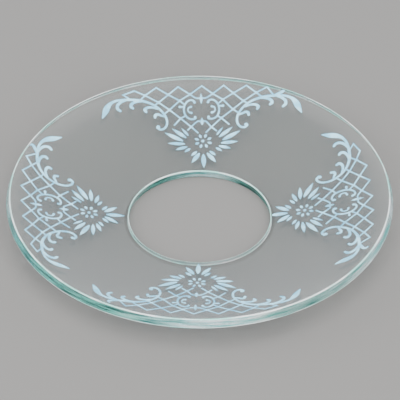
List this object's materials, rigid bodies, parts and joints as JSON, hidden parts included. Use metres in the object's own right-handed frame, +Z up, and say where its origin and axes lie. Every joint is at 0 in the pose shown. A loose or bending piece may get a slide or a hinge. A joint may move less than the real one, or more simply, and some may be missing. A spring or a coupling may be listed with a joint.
{
  "type": "bobeche",
  "caption": "Shallow round glass drip dish with a candle hole and a ground edge, its upper face etched with garlands of lattice, scrolls, leaves and daisies.",
  "frame": {"origin": "centre of the candle hole in the plane of the flat seat under the dish", "axes": "+Z up along the dish's axis of revolution, towards the candle's flame; -Y towards the camera of the picture"},
  "size_m": [0.1016, 0.1016, 0.0099],
  "materials": {
    "clear_glass": "clear fire-polished sheet glass, slightly green at its ground edges",
    "frosted_glass": "white acid-etched glass, matt and translucent, on the floors of the etched ornament"
  },
  "bodies": {
    "root": {"glass_dish": "clear_glass"}
  },
  "joints": []
}
